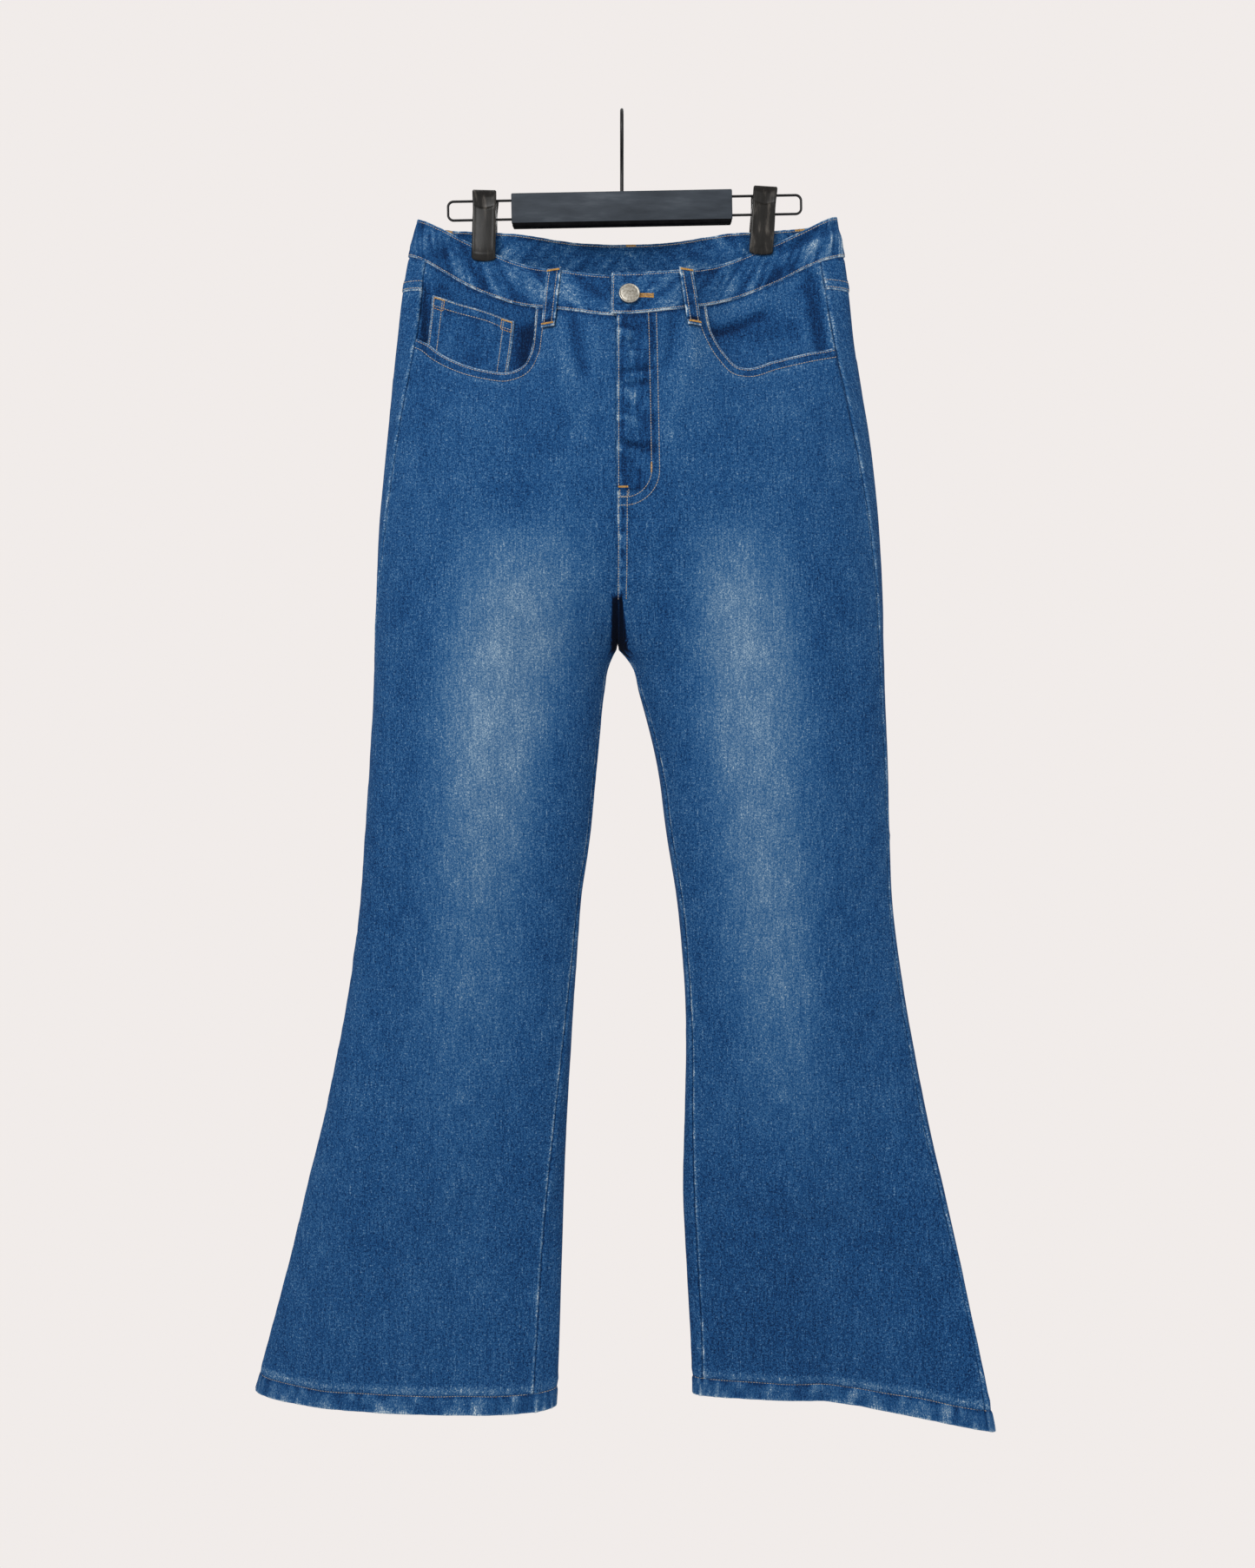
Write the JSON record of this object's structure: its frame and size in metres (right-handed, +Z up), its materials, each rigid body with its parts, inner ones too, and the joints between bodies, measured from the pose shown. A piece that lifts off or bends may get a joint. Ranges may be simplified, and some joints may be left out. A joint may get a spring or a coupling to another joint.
{
  "type": "flared jeans on clip hanger",
  "caption": "High-waisted flared denim jeans with scoop pockets and fly, hanging flat by the waistband from a clip hanger with a round hook.",
  "frame": {"origin": "inner top of the hanger's hook, where it rests on a rail", "axes": "+Z up, -Y out of the front of the jeans, +X towards the wearer's left leg"},
  "size_m": [0.6539, 0.1188, 1.1585],
  "materials": {
    "denim": "washed mid-blue denim, matt, faded down both thighs",
    "zip_tape": "dark woven tape",
    "pewter": "antique, satin",
    "black_wire": "black, satin",
    "charcoal_paint": "charcoal, matt",
    "black_plastic": "black, satin",
    "spring_steel": "plain steel"
  },
  "bodies": {
    "root": {"front_right": "denim", "front_left": "denim", "back_right": "denim", "back_left": "denim", "yoke_right": "denim", "yoke_left": "denim", "waistband": "denim", "hem_right": "denim", "hem_left": "denim", "pocket_facing_right": "denim", "pocket_facing_left": "denim", "coin_pocket": "denim", "back_pocket_right": "denim", "back_pocket_left": "denim", "fly_facing": "denim", "belt_loop_front_right": "denim", "belt_loop_front_left": "denim", "belt_loop_back_right": "denim", "belt_loop_back_left": "denim", "belt_loop_centre": "denim", "zip": "zip_tape", "button": "pewter", "hanger_hook": "black_wire", "hanger_bar": "charcoal_paint", "wire_loop_right": "black_wire", "wire_loop_left": "black_wire", "clip_front_right": "black_plastic", "clip_back_right": "black_plastic", "clip_front_left": "black_plastic", "clip_back_left": "black_plastic", "clip_spring_right": "spring_steel", "clip_spring_left": "spring_steel"}
  },
  "joints": []
}
